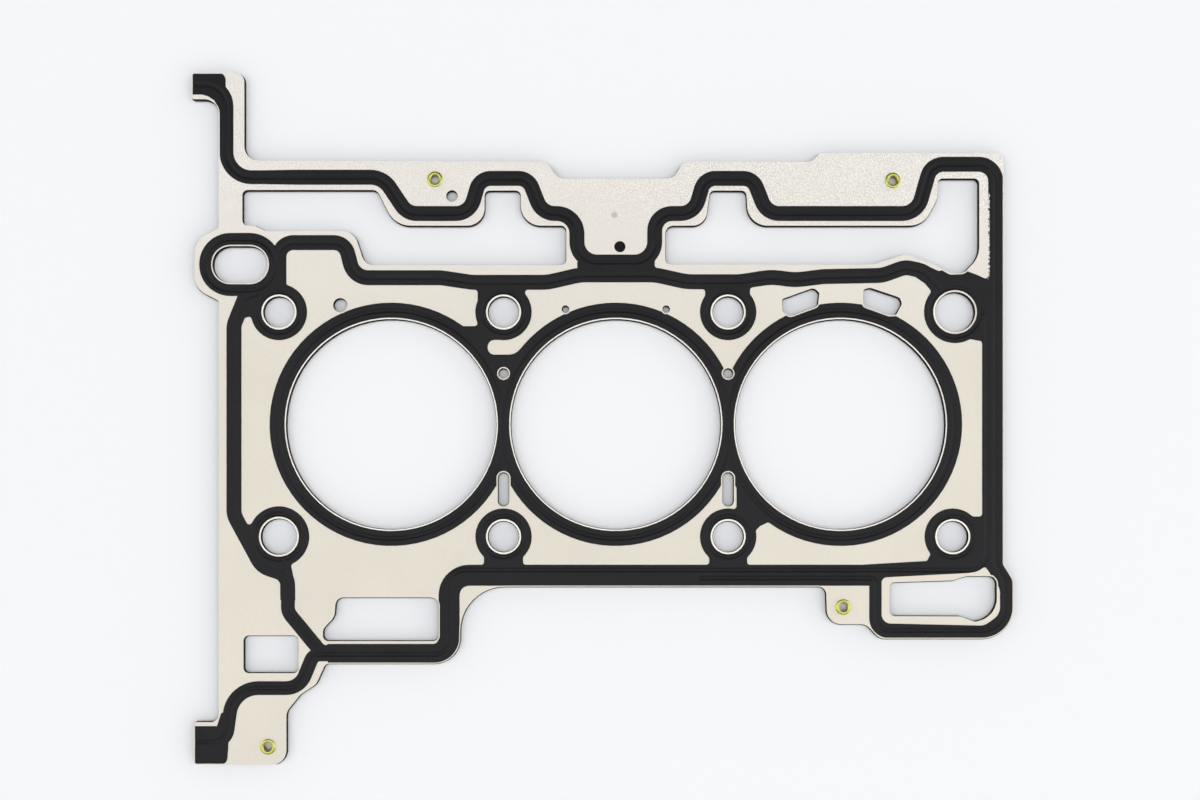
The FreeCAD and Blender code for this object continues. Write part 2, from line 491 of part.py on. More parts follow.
def film_links():
    """Patches of film between the beads, the bolt holes and the cylinders."""
    s = size
    front, lug = FIRST - s["front_run"], FIRST - s["lug_reach"]
    upper_lug, lower_lug = UPPER + s["upper_lug_top"], LOWER - s["lower_lug_foot"]
    half = s["film_width"] / 2
    jacket, sill = UPPER + s["jacket_line"], LOWER - s["sill_film"]
    jacket_front, back = FIRST - s["jacket_front_run"], LAST + s["back_run"]
    floor = UPPER + s["valley_floor"]
    valley = s["valley_half"]
    rail, slim = UPPER + s["rail"] + 0.2, s["slim_film"] / 2
    return {
        "widening rail film": [(SECOND - 84.0, rail - slim), (SECOND - 72.0, rail - half),
                               (SECOND - 72.0, rail + half), (SECOND - 84.0, rail + slim)],
        "upper lug": [(lug, upper_lug - 7.6), (front - 8.5, upper_lug - 7.6), (front - 6.4, upper_lug - 8.2),
                      (front - 4.3, upper_lug - 9.6), (front - 2.9, upper_lug - 11.9),
                      (front - 2.4, upper_lug - 14.5), (front - 0.3, upper_lug - 14.0),
                      (front - 0.3, upper_lug, 2.5), (lug, upper_lug)],
        "lower lug": [(lug, lower_lug), (FIRST - 18.0, lower_lug, 2.5), (FIRST - 17.4, lower_lug + 9.0),
                      (FIRST - 14.5, lower_lug + 18.0), (FIRST - 20.0, lower_lug + 18.0),
                      (FIRST - 21.5, lower_lug + 13.4), (lug, lower_lug + 13.4)],
        "oil hole to first bolt": [(jacket_front - 1.0, UPPER - 2.0), (FIRST - 11.5, UPPER - 2.0),
                                   (FIRST - 6.0, UPPER), (FIRST, UPPER + 6.0), (FIRST, UPPER + 16.0),
                                   (FIRST - 14.0, UPPER + 9.0), (jacket_front + 2.0, UPPER + 4.5)],
        "second bolt": [(SECOND - 9.0, UPPER - 4.9), (SECOND + 7.5, UPPER - 4.9), (SECOND + 7.5, jacket),
                        (SECOND - 9.0, jacket)],
        "first web": [(SECOND, 0.0), (SECOND + 9.5, UPPER - 9.0), (SECOND, UPPER - 4.9),
                      (SECOND - 14.0, UPPER - 4.9)],
        "third bolt": [(THIRD - 8.0, UPPER + 3.0), (THIRD + 7.6, UPPER + 3.0), (THIRD + 7.6, jacket),
                       (THIRD - 8.0, jacket)],
        "back dowel": [(LAST - 7.8, UPPER + 7.6), (LAST, UPPER - 8.0), (LAST + 6.5, UPPER - 9.5),
                       (back, UPPER - 11.0), (back, UPPER + 11.5), (LAST + 11.0, UPPER + 11.7),
                       (LAST + 8.2, UPPER + 13.0), (LAST + 5.5, UPPER + 14.0), (LAST + 3.0, UPPER + 15.2),
                       (LAST - 2.0, UPPER + 15.0), (LAST - 4.9, UPPER + 14.2), (LAST - 8.3, UPPER + 15.8),
                       (LAST - 11.8, UPPER + 17.3), (LAST - 13.2, UPPER + 12.3), (LAST - 9.7, UPPER + 9.9)],
        "valley": [(-valley - half + 2.7, floor - 0.6), (-valley - half + 2.7, floor - 2.6),
                   (-valley + 1.0, jacket), (valley + 1.5, jacket), (valley + half - 2.6, floor - 2.6),
                   (valley + half - 2.6, floor - 1.4), (valley, floor), (-valley, floor)],
        "third sill bolt": [(THIRD + 2.9, -20.0), (THIRD + 9.0, -22.0), (THIRD + 16.0, LOWER + 6.0),
                            (THIRD + 11.0, LOWER + 3.6), (THIRD + 8.5, LOWER + 1.0), (THIRD, LOWER),
                            (THIRD + 2.9, LOWER + 9.0)],
        "second bolt foot": [(SECOND - 6.8, sill), (SECOND + 6.8, sill), (SECOND + 6.8, LOWER - 5.0),
                             (SECOND - 6.8, LOWER - 5.0)],
        "third bolt foot": [(THIRD - 6.6, sill), (THIRD + 6.6, sill), (THIRD + 6.6, LOWER - 6.0),
                            (THIRD - 6.6, LOWER - 6.0)],
        "last bolt": [(LAST - 31.0, sill), (back, sill), (back, LOWER + 7.0), (LAST + 9.0, LOWER + 7.0),
                      (LAST, LOWER + 7.0), (LAST - 8.5, LOWER - 7.5), (LAST - 8.5, LOWER - 8.4),
                      (LAST - 31.0, LOWER - 9.7)],
    }


def bare_patches():
    """Closed corner rows of the places inside the film where the steel stays bare."""
    nook = [(SECOND - 5.5, UPPER - 14.8, 2.4), (SECOND + 4.0, UPPER - 14.8, BEND), (SECOND + 11.0, UPPER - 7.0, 0),
            (SECOND + 6.0, UPPER - 4.0, 0), (SECOND, UPPER - 9.7, 0), (SECOND - 5.5, UPPER - 9.7, 2.4)]
    drain = [(LAST - 24.7, LOWER - 30.1, 3.2), (LAST + 11.0, LOWER - 30.9, BEND), (LAST + 16.4, LOWER - 27.0, BEND),
             (LAST + 16.4, LOWER - 18.0, BEND), (LAST + 11.4, LOWER - 10.5, SHARP), (LAST + 6.0, LOWER - 12.6, CORNER),
             (LAST - 24.7, LOWER - 14.2, SMALL)]
    return [nook, drain]


def film_rings(holes):
    """Width of the film ring round each of the round holes that has one."""
    s = size
    width = {s["back_dowel_hole"] / 2: s["back_dowel_film"], s["front_dowel_hole"] / 2: s["front_dowel_film"],
             s["bolt_hole"] / 2: s["bolt_film"]}
    return [(x, y, radius, width[radius]) for x, y, radius in holes if radius in width]


def softened(island):
    """Island of bare steel with its tight corners rounded, in as many faces as that leaves."""
    if len(island.Edges) == 1:
        return [island]
    shrunk = island.makeOffset2D(-size["film_round"])
    return [face.makeOffset2D(size["film_round"]) for face in shrunk.Faces]


def film_region(holes):
    """Flat region that the film covers on an outer face. `holes` are the round holes as (x, y, radius)."""
    s = size
    gap, width = s["film_gap"], s["film_width"]
    back = LAST + s["back_run"]
    right = back + width / 2 - s["wide_film"] / 2
    oil = oil_bead()
    seam = (SECOND - 73.0, oil[2][1], 0)
    covered = [band(oil[:3] + [seam], s["slim_film"]), band([seam] + oil[3:], width)]
    covered += [band(line, s["slim_film"]) for line in (cover_bead(), sill_bead()[:5])]
    covered += [band(line, width) for line in (jacket_bead(), jacket_front_bead())]
    covered.append(band(sill_film(), s["wide_film"]))
    covered.append(band([(right, UPPER - 1.0, 0), (right, LOWER - s["sill_film"], 0)], s["wide_film"]))
    covered += [disc(x, 0, s["bore_opening"] / 2 + gap + width) for x in CYLINDERS]
    covered += [disc(x, y, radius + s["bolt_rim"] + ring) for x, y, radius, ring in film_rings(holes)]
    covered.append(face_of(oil_hole(), gap + s["oil_hole_film"]))
    links = [face_of([(*corner, 0)[:3] for corner in corners]) for corners in film_links().values()]
    bare = [disc(x, 0, s["bore_opening"] / 2 + gap) for x in CYLINDERS]
    bare += [disc(x, y, radius + gap) for x, y, radius in holes]
    bare += [disc(x, y, radius + s["bolt_rim"]) for x, y, radius, _ in film_rings(holes)]
    bare += [face_of(corners, gap) for corners in passages() + coolant_windows() + [oil_hole()] + web_slots()]
    bands = covered[0].multiFuse(covered[1:])
    patches = links[0].multiFuse(links[1:]).cut([face_of(corners) for corners in bare_patches()[:1]])
    whole = bands.fuse(patches).common(face_of(outline_corners(), -s["film_edge"]))
    region = whole.cut(bare + [face_of(bare_patches()[1])]).removeSplitter().Faces[0]
    islands = [Part.Face(wire) for wire in region.Wires if not wire.isSame(region.OuterWire)]
    return Part.Face(region.OuterWire).cut([piece for island in islands for piece in softened(island)]).Faces[0]


def profile_of_bead(depth):
    """Cross section of a bead: distance to the side and height of each corner, with its mouth at zero."""
    mouth, crest = size["bead_width"] / 2, size["bead_crest"] / 2
    return [(-mouth, 0), (mouth, 0), (crest, -depth), (-crest, -depth)]


def bead_along(corners, depth, closed=False):
    """Solid that fills a bead along a row of corners."""
    first = rounded(corners, closed)[0]
    way = (first.EndPoint - first.StartPoint).normalize()
    side = Vector(-way.y, way.x, 0)
    points = [first.StartPoint + side * across + Vector(0, 0, up) for across, up in profile_of_bead(depth)]
    sweep = Part.BRepOffsetAPI.MakePipeShell(wire_of(corners, closed))
    sweep.setBiNormalMode(Vector(0, 0, 1))
    sweep.add(Part.makePolygon([*points, points[0]]), False, False)
    sweep.build()
    sweep.makeSolid()
    return sweep.shape()


def ring_bead(x, y, radius):
    """Solid that fills a bead all round a hole."""
    points = [Vector(x + radius + across, y, up) for across, up in profile_of_bead(size["bead_height"])]
    face = Part.Face(Part.makePolygon([*points, points[0]]))
    return face.revolve(Vector(x, y, 0), Vector(0, 0, 1), 360)


def beads(holes):
    """Solid that fills every bead, hanging down from Z = 0."""
    s = size
    deep, low, gap = s["bead_height"], s["jacket_bead"], s["film_gap"]
    fillings = [bead_along(line(), deep) for line in (oil_bead, cover_bead, sill_bead)]
    fillings += [bead_along(line(), low) for line in (jacket_bead, jacket_front_bead)]
    fillings.append(bead_along(shifted(oil_hole(), -gap - s["oil_hole_film"] / 2), deep, closed=True))
    fillings += [ring_bead(x, 0, s["bore_opening"] / 2 + gap + s["film_width"] / 2) for x in CYLINDERS]
    fillings += [ring_bead(x, y, radius + s["bolt_bead"]) for x, y, radius, _ in film_rings(holes)]
    return fillings[0].multiFuse(fillings[1:])


def placed(name, shape, height):
    """Plain shape in the document at a height given as an expression."""
    item = doc.addObject("Part::Feature", name)
    item.Shape = shape
    item.setExpression("Placement.Base.z", height)
    return item


def joined(name, base, tool):
    item = doc.addObject("Part::Fuse", name)
    item.Base, item.Tool = base, tool
    return item


def hollowed(name, base, tool):
    item = doc.addObject("Part::Cut", name)
    item.Base, item.Tool = base, tool
    return item


def mirrored(name, source):
    """The same piece on the lower side of the spacer sheet."""
    item = doc.addObject("Part::Mirroring", name)
    item.Source = source
    item.Normal = (0, 0, 1)
    item.setExpression("Base.z", f"{SPACER_FOOT} + dims.spacer_sheet / 2")
    return item


def eyelet(name, x, y):
    """Rolled eyelet with a flange against each outer sheet."""
    s = size
    inner, barrel = s["eyelet_bore"] / 2, s["eyelet_bore"] / 2 + s["eyelet_wall"]
    flange, roll = s["eyelet_flange"] / 2, s["eyelet_roll"]
    height = 2 * (roll + s["active_sheet"] + s["bead_height"]) + s["spacer_sheet"]
    body = doc.addObject("PartDesign::Body", name)
    section = new_sketch(body, "section", "XZ_Plane")
    draw(section, [[(inner, 0, 0.6 * roll), (flange, 0, 0.6 * roll), (flange, roll, 0), (barrel, roll, 0),
                    (barrel, height - roll, 0), (flange, height - roll, 0), (flange, height, 0.6 * roll),
                    (inner, height, 0.6 * roll)]])
    turned = body.newObject("PartDesign::Revolution", f"{name}_turned")
    turned.Profile = section
    turned.ReferenceAxis = (section, ["V_Axis"])
    turned.Angle = 360
    body.Tip = turned
    body.setExpression("Placement.Base.x", x)
    body.setExpression("Placement.Base.y", y)
    return body


# Heights of the layers above the ground, as expressions of the sizes
SPACER_FOOT = "dims.eyelet_roll + dims.active_sheet + dims.bead_height"
SHEET_FOOT = f"{SPACER_FOOT} + dims.spacer_sheet + dims.bead_height"
SHEET_TOP = f"{SHEET_FOOT} + dims.active_sheet"
FILM_TOP = f"{SHEET_TOP} + dims.film"

spacer, holes = stamped_sheet("spacer_layer", "spacer_sheet")
spacer.setExpression("Placement.Base.z", SPACER_FOOT)
round_holes = [(hole.Center.x, hole.Center.y, hole.Radius) for hole in holes.Geometry]

# The upper sheet, with beads pressed down until they stand on the spacer
plate, _ = stamped_sheet("upper_plate", "active_sheet", SHEET_WINDOW)
plate.setExpression("Placement.Base.z", SHEET_FOOT)
filling = beads(round_holes)
embossed = joined("upper_plate_with_beads", plate, placed("beads_under_plate", filling, SHEET_FOOT))
upper_layer = hollowed("upper_layer", embossed, placed("beads_in_plate", filling, SHEET_TOP))

# The film on it, which follows the beads
film_area = placed("film_area", film_region(round_holes), SHEET_TOP)
film = doc.addObject("Part::Extrusion", "flat_film")
film.Base = film_area
film.Dir = (0, 0, 1)
film.Solid = True
film.setExpression("LengthFwd", "dims.film")
covering = joined("film_with_beads", film, placed("beads_under_film", filling, SHEET_TOP))
upper_coating = hollowed("upper_coating", covering, placed("beads_in_film", filling, FILM_TOP))

nodes = [spacer, upper_layer, upper_coating, mirrored("lower_layer", upper_layer),
         mirrored("lower_coating", upper_coating)]
nodes += [eyelet(name, x, y) for name, x, y in EYELETS]
doc.recompute()

for item in doc.Objects:
    if "Invalid" in item.State or "Error" in item.State:
        raise RuntimeError(f"{item.Label} did not build: {item.State}")

os.makedirs("parts", exist_ok=True)
for item in nodes:
    shape = item.Shape
    if shape.isNull() or not shape.isValid() or len(shape.Solids) != 1:
        raise RuntimeError(f"{item.Label} is not one valid solid")
    shape.exportStep(f"parts/{item.Label}.step")
    box = shape.BoundBox
    print(f"{item.Label}: {shape.Volume:.2f} mm3, z {box.ZMin:.2f} to {box.ZMax:.2f}")
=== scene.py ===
import math

import bmesh
import bpy
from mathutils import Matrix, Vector


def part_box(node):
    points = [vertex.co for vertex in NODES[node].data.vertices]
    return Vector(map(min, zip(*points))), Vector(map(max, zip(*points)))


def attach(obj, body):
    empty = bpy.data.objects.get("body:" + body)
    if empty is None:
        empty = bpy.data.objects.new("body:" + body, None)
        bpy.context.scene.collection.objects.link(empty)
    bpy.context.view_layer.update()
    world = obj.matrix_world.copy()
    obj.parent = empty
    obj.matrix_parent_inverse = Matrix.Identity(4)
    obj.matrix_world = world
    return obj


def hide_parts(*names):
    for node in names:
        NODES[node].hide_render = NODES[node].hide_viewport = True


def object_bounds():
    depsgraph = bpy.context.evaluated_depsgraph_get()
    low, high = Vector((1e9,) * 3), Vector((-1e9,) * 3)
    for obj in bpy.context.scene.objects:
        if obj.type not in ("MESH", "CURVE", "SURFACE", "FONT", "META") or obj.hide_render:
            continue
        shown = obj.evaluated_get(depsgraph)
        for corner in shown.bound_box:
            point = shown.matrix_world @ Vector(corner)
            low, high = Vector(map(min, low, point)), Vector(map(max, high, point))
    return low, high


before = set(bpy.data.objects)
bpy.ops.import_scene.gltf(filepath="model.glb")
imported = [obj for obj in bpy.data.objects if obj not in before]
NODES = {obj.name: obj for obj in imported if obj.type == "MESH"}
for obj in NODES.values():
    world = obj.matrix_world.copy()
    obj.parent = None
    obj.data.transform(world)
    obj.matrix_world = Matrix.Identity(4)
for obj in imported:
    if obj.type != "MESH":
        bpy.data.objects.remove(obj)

SIZE_AT_LOAD = [list(corner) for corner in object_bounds()]
EYELETS = ("front_rail_eyelet", "back_rail_eyelet", "front_lug_eyelet", "drain_eyelet")
MM = 0.001

# Light, in strengths of the world and watts of the lamp
ROOM_LEVEL, SOFTBOX_LEVEL, WINDOW_LEVEL, LOW_LEVEL, LAMP_POWER = 0.36, 1.32, 2.2, 2.6, 8.0
LOW_LIGHT, HIGH_LIGHT = (1.02, 1.0, 0.965), (0.985, 0.995, 1.02)

# Places on the gasket that the materials mark
HALF_PITCH = 39 * MM
LAST_CYLINDER_END = 116.4 * MM
# Radii of the bare rims that the steel paints with a highlight
CYLINDER_RIM, BOLT_RIM = 37.85 * MM, 6.8 * MM
WELD_MARK = (-0.5 * MM, 72.7 * MM, 2.0 * MM)
CHIPPED_EDGE, CHIP_DEPTH = 129.6 * MM, 0.6 * MM
CHIPS_FROM, CHIPS_TO = 51.5 * MM, 80 * MM

# Share by which the spacer's coat shows more on edges that face -Y, and less on those that face +Y; this
# unevenness stands in for shade, not for the coat itself
COAT_SHADE_SHIFT = 0.45


def new_material(name):
    """Empty node material, its tree and the shader that ends it."""
    material = bpy.data.materials.new(name)
    material.use_nodes = True
    tree = material.node_tree
    tree.nodes.clear()
    output = tree.nodes.new("ShaderNodeOutputMaterial")
    shader = tree.nodes.new("ShaderNodeBsdfPrincipled")
    tree.links.new(shader.outputs["BSDF"], output.inputs["Surface"])
    return material, tree, shader


def object_place(tree):
    return tree.nodes.new("ShaderNodeTexCoord").outputs["Object"]


def axes_of(tree, vector):
    node = tree.nodes.new("ShaderNodeSeparateXYZ")
    tree.links.new(vector, node.inputs["Vector"])
    return node.outputs["X"], node.outputs["Y"], node.outputs["Z"]


def noise(tree, place, scale, detail=3.0, rough=0.5):
    node = tree.nodes.new("ShaderNodeTexNoise")
    node.inputs["Scale"].default_value = scale
    node.inputs["Detail"].default_value = detail
    node.inputs["Roughness"].default_value = rough
    tree.links.new(place, node.inputs["Vector"])
    return node.outputs["Fac"]


def spread(tree, value, low, high, to_low, to_high):
    """Maps a value from one range to another, clamped."""
    node = tree.nodes.new("ShaderNodeMapRange")
    node.inputs["From Min"].default_value = low
    node.inputs["From Max"].default_value = high
    node.inputs["To Min"].default_value = to_low
    node.inputs["To Max"].default_value = to_high
    tree.links.new(value, node.inputs["Value"])
    return node.outputs["Result"]


def calculated(tree, operation, first, second):
    """Result of a math node on two values, each a number or a socket."""
    node = tree.nodes.new("ShaderNodeMath")
    node.operation = operation
    for socket, value in zip(node.inputs, (first, second)):
        if isinstance(value, (int, float)):
            socket.default_value = value
        else:
            tree.links.new(value, socket)
    return node.outputs["Value"]


def blended(tree, share, first, second):
    """Colour between two others, by a share from 0 to 1."""
    node = tree.nodes.new("ShaderNodeMix")
    node.data_type = "RGBA"
    tree.links.new(share, node.inputs["Factor"])
    for socket, colour in ((node.inputs[6], first), (node.inputs[7], second)):
        if isinstance(colour, tuple):
            socket.default_value = (*colour, 1)
        else:
            tree.links.new(colour, socket)
    return node.outputs[2]


def tinted(tree, colour, tint):
    """One colour times another, no brighter than white."""
    node = tree.nodes.new("ShaderNodeMix")
    node.data_type = "RGBA"
    node.blend_type = "MULTIPLY"
    node.clamp_result = True
    node.inputs["Factor"].default_value = 1
    tree.links.new(colour, node.inputs[6])
    tree.links.new(tint, node.inputs[7])
    return node.outputs[2]


def bump(tree, shader, height, distance):
    """Surface texture in the shading; the node comes back for what goes under it."""
    node = tree.nodes.new("ShaderNodeBump")
    node.inputs["Strength"].default_value = 1
    node.inputs["Distance"].default_value = distance
    tree.links.new(height, node.inputs["Height"])
    tree.links.new(node.outputs["Normal"], shader.inputs["Normal"])
    return node


def softened_edges(tree, texture, radius):
    """Rounds the folds of the beads in the shading, under a bump."""
    node = tree.nodes.new("ShaderNodeBevel")
    node.samples = 6
    node.inputs["Radius"].default_value = radius
    tree.links.new(node.outputs["Normal"], texture.inputs["Normal"])


def shaded_wall_mask(tree):
    """1 on upright cut edges and walls, 0 on the faces and in the beads, where the materials paint shade."""
    geometry = tree.nodes.new("ShaderNodeNewGeometry")
    _, _, up = axes_of(tree, geometry.outputs["True Normal"])
    return spread(tree, calculated(tree, "ABSOLUTE", up, 0), 0.3, 0.6, 1, 0)


def spot(tree, place, centre, inner, outer):
    """1 near a point, falling to 0 between two distances from it."""
    node = tree.nodes.new("ShaderNodeVectorMath")
    node.operation = "DISTANCE"
    tree.links.new(place, node.inputs[0])
    node.inputs[1].default_value = centre
    return spread(tree, node.outputs["Value"], inner, outer, 1, 0)


def painted_highlight_rims(tree, x, y):
    """1 on the narrow bare rims of the cylinder openings and bolt holes, whose pattern repeats along the row;
    the steel paints a highlight there.
    """
    folded = tree.nodes.new("ShaderNodeCombineXYZ")
    tree.links.new(calculated(tree, "PINGPONG", x, HALF_PITCH), folded.inputs["X"])
    tree.links.new(calculated(tree, "ABSOLUTE", y, 0), folded.inputs["Y"])
    place = folded.outputs["Vector"]
    row = spread(tree, calculated(tree, "ABSOLUTE", x, 0),
                 LAST_CYLINDER_END - 0.2 * MM, LAST_CYLINDER_END + 0.2 * MM, 1, 0)
    cylinder = spot(tree, place, (0, 0, 0), CYLINDER_RIM - 0.15 * MM, CYLINDER_RIM + 0.15 * MM)
    bolt = spot(tree, place, (HALF_PITCH, HALF_PITCH, 0), BOLT_RIM - 0.2 * MM, BOLT_RIM + 0.2 * MM)
    return calculated(tree, "MAXIMUM", calculated(tree, "MULTIPLY", cylinder, row), bolt)


def sheet_steel():
    """Bright cold-rolled steel with a fine grain, coarser on the rail behind the galleries and paler and bluer
    towards the back, with a painted highlight on the bare rims and painted shade on the cut edges.
    """
    material, tree, shader = new_material("sheet_steel_grain")
    place = object_place(tree)
    x, y, _ = axes_of(tree, place)
    grain = noise(tree, place, 2600, 2.0, 0.6)
    fine = noise(tree, place, 5600, 1.0, 0.5)
    cloud = noise(tree, place, 30, 3.0, 0.5)
    sparkle = calculated(tree, "ADD", calculated(tree, "MULTIPLY", grain, 0.6),
                         calculated(tree, "MULTIPLY", fine, 0.4))
    rail = calculated(tree, "MULTIPLY", spread(tree, y, 66 * MM, 82 * MM, 0, 1),
                      spread(tree, x, -20 * MM, 50 * MM, 0.28, 1))
    calm = spread(tree, sparkle, 0.34, 0.66, 0.36, 0.64)
    lively = spread(tree, sparkle, 0.42, 0.60, -0.4, 1.5)
    share = calculated(tree, "ADD", calculated(tree, "MULTIPLY", lively, rail),
                       calculated(tree, "MULTIPLY", calm, calculated(tree, "SUBTRACT", 1, rail)))
    tone = blended(tree, share, (0.72, 0.685, 0.615), (0.955, 0.915, 0.828))
    clouded = blended(tree, spread(tree, cloud, 0.35, 0.65, 0, 1), (0.975, 0.97, 0.965), (1.0, 0.997, 0.985))
    # Paler and bluer towards the back, +Y.
    tint = blended(tree, spread(tree, y, 20 * MM, 85 * MM, 0, 1), clouded, (1.07, 1.08, 1.13))
    tint = blended(tree, spot(tree, place, WELD_MARK, 0.6 * MM, 1.4 * MM), tint, (0.80, 0.79, 0.80))
    # Painted highlight: the bare rims round the cylinder openings and bolt holes are lightened and blued.
    tint = blended(tree, painted_highlight_rims(tree, x, y), tint, (1.16, 1.18, 1.24))
    # Painted shade: the upright cut edges are coloured near black, and are also made rough and not metallic.
    edge = shaded_wall_mask(tree)
    colour = blended(tree, edge, tinted(tree, tone, tint), (0.012, 0.0115, 0.0115))
    tree.links.new(colour, shader.inputs["Base Color"])
    tree.links.new(calculated(tree, "SUBTRACT", 1, edge), shader.inputs["Metallic"])
    shader.inputs["Specular IOR Level"].default_value = 0.1
    rough = calculated(tree, "MAXIMUM", spread(tree, fine, 0.3, 0.7, 0.66, 0.78),
                       calculated(tree, "MULTIPLY", edge, 0.85))
    tree.links.new(rough, shader.inputs["Roughness"])
    bump(tree, shader, sparkle, 0.008 * MM)
    return material


def film_chips(tree, place):
    """1 on chips along the inner edge of the film on the back rail, fewer further in."""
    x, y, _ = axes_of(tree, place)
    inward = spread(tree, x, CHIPPED_EDGE, CHIPPED_EDGE + CHIP_DEPTH, 0.46, 0.98)
    chips = calculated(tree, "GREATER_THAN", noise(tree, place, 2200, 1.0), inward)
    for mask in (spread(tree, y, CHIPS_FROM - 1.5 * MM, CHIPS_FROM + 1.5 * MM, 0, 1),
                 spread(tree, y, CHIPS_TO - 0.5 * MM, CHIPS_TO + 0.5 * MM, 1, 0),
                 spread(tree, x, CHIPPED_EDGE - 0.6 * MM, CHIPPED_EDGE - 0.5 * MM, 0, 1)):
        chips = calculated(tree, "MULTIPLY", chips, mask)
    return chips


def sealing_film():
    """Satin black film with a faint orange-peel texture, pale grey specks and chips that bare the steel."""
    material, tree, shader = new_material("sealing_film_satin")
    place = object_place(tree)
    skin = noise(tree, place, 1500, 3.0, 0.6)
    cloud = noise(tree, place, 60, 3.0, 0.5)
    speck = noise(tree, place, 3800, 1.0, 0.5)
    dark = blended(tree, spread(tree, cloud, 0.3, 0.7, 0, 1), (0.0064, 0.0060, 0.0070), (0.0088, 0.0082, 0.0096))
    # Pale grey specks scattered over the film.
    specked = blended(tree, spread(tree, speck, 0.66, 0.78, 0, 0.5), dark, (0.06, 0.06, 0.058))
    chips = film_chips(tree, place)
    tree.links.new(blended(tree, chips, specked, (0.84, 0.80, 0.73)), shader.inputs["Base Color"])
    tree.links.new(chips, shader.inputs["Metallic"])
    shader.inputs["Specular IOR Level"].default_value = 0.185
    tree.links.new(spread(tree, skin, 0.3, 0.7, 0.32, 0.42), shader.inputs["Roughness"])
    softened_edges(tree, bump(tree, shader, skin, 0.006 * MM), 0.25 * MM)
    return material


def spacer_steel():
    """Spacer sheet under its thin dull black coating, worn a little paler in patches."""
    material, tree, shader = new_material("spacer_black_coat")
    place = object_place(tree)
    skin = noise(tree, place, 1800, 2.0, 0.5)
    cloud = noise(tree, place, 90, 3.0, 0.5)
    colour = blended(tree, spread(tree, cloud, 0.35, 0.7, 0, 1), (0.006, 0.006, 0.0065), (0.011, 0.011, 0.011))
    tree.links.new(colour, shader.inputs["Base Color"])
    shader.inputs["Specular IOR Level"].default_value = 0.15
    tree.links.new(spread(tree, skin, 0.3, 0.7, 0.5, 0.65), shader.inputs["Roughness"])
    bump(tree, shader, skin, 0.008 * MM)
    return material


def eyelet_brass():
    """Yellow passivated plating, slightly uneven, with a dull speckle, and its upright walls painted darker
    brown as shade.
    """
    material, tree, shader = new_material("eyelet_yellow_plating")
    place = object_place(tree)
    skin = noise(tree, place, 2600, 3.0, 0.6)
    cloud = noise(tree, place, 420, 2.0, 0.5)
    colour = blended(tree, spread(tree, cloud, 0.3, 0.7, 0, 1), (0.43, 0.42, 0.10), (0.53, 0.52, 0.15))
    dull = blended(tree, spread(tree, skin, 0.62, 0.75, 0, 0.5), colour, (0.30, 0.27, 0.08))
    # Painted shade: the upright walls are coloured darker brown.
    tree.links.new(blended(tree, shaded_wall_mask(tree), dull, (0.30, 0.22, 0.09)), shader.inputs["Base Color"])
    shader.inputs["Metallic"].default_value = 1
    tree.links.new(spread(tree, skin, 0.3, 0.7, 0.18, 0.30), shader.inputs["Roughness"])
    bump(tree, shader, calculated(tree, "ADD", skin, calculated(tree, "MULTIPLY", cloud, 4.0)), 0.008 * MM)
    return material


def floor_paper():
    """Matt white board with a barely seen tooth."""
    material, tree, shader = new_material("white_board")
    tooth = noise(tree, object_place(tree), 900, 2.0, 0.5)
    colour = blended(tree, tooth, (0.902, 0.908, 0.915), (0.922, 0.927, 0.934))
    tree.links.new(colour, shader.inputs["Base Color"])
    shader.inputs["Roughness"].default_value = 1
    shader.inputs["Specular IOR Level"].default_value = 0
    return material


def dress(material, *names):
    for name in names:
        slots = NODES[name].data.materials
        slots.clear()
        slots.append(material)


def mesh_piece(name, points, faces):
    mesh = bpy.data.meshes.new(name)
    mesh.from_pydata(points, [], faces)
    piece = bpy.data.objects.new(name, mesh)
    bpy.context.scene.collection.objects.link(piece)
    return piece


def on_the_gasket(piece, material):
    piece.data.materials.append(material)
    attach(piece, "root")


def centre_of(node):
    low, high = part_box(node)
    return (low[0] + high[0]) / 2, (low[1] + high[1]) / 2


def rolled_eyelet(node, material):
    """Eyelet turned from a smooth profile in millimetres, with a round roll against each outer sheet."""
    x, y = centre_of(node)
    bore, barrel, flange, height = 1.45, 1.75, 2.75, 2.4
    roll, crown, steps = 0.4, 0.34, 96
    middle, reach = (bore + flange) / 2, (flange - bore) / 2
    arc = [math.pi * (1 - k / 24) for k in range(25)]
    upper = [(middle + reach * math.cos(a), height - crown * (1 - math.sin(a))) for a in arc]
    side = upper + [(flange - 0.04, height - roll), (barrel, height - roll)]
    profile = side + [(radius, height - z) for radius, z in reversed(side)]
    points = []
    for k in range(steps):
        turn = 2 * math.pi * k / steps
        points += [(x + radius * math.cos(turn) * MM, y + radius * math.sin(turn) * MM, z * MM)
                   for radius, z in profile]
    count = len(profile)
    faces = [(k * count + i, k * count + (i + 1) % count, (k + 1) % steps * count + (i + 1) % count,
              (k + 1) % steps * count + i) for k in range(steps) for i in range(count)]
    piece = mesh_piece(f"rolled_{node}", points, faces)
    piece.data.polygons.foreach_set("use_smooth", [True] * len(faces))
    piece.data.set_sharp_from_angle(angle=math.radians(50))
    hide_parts(node)
    on_the_gasket(piece, material)


def cut_rim(shape):
    """Edges round the spacer's upper face, away from the eyelets, and the outward direction at their corners."""
    centres = [centre_of(node) for node in EYELETS]
    rim, outward = [], {}
    for edge in shape.edges:
        flat = [face for face in edge.link_faces if face.normal.z > 0.9]
        wall = [face for face in edge.link_faces if abs(face.normal.z) < 0.1]
        place = edge.verts[0].co
        if len(flat) == 1 and len(wall) == 1 and all(math.dist(place[:2], c) > 3 * MM for c in centres):
            rim.append(edge)
            for vertex in edge.verts:
                outward[vertex] = outward.get(vertex, Vector((0, 0, 0))) + wall[0].normal
    for side in outward.values():
        side.z = 0
        side.normalize()
    return rim, outward


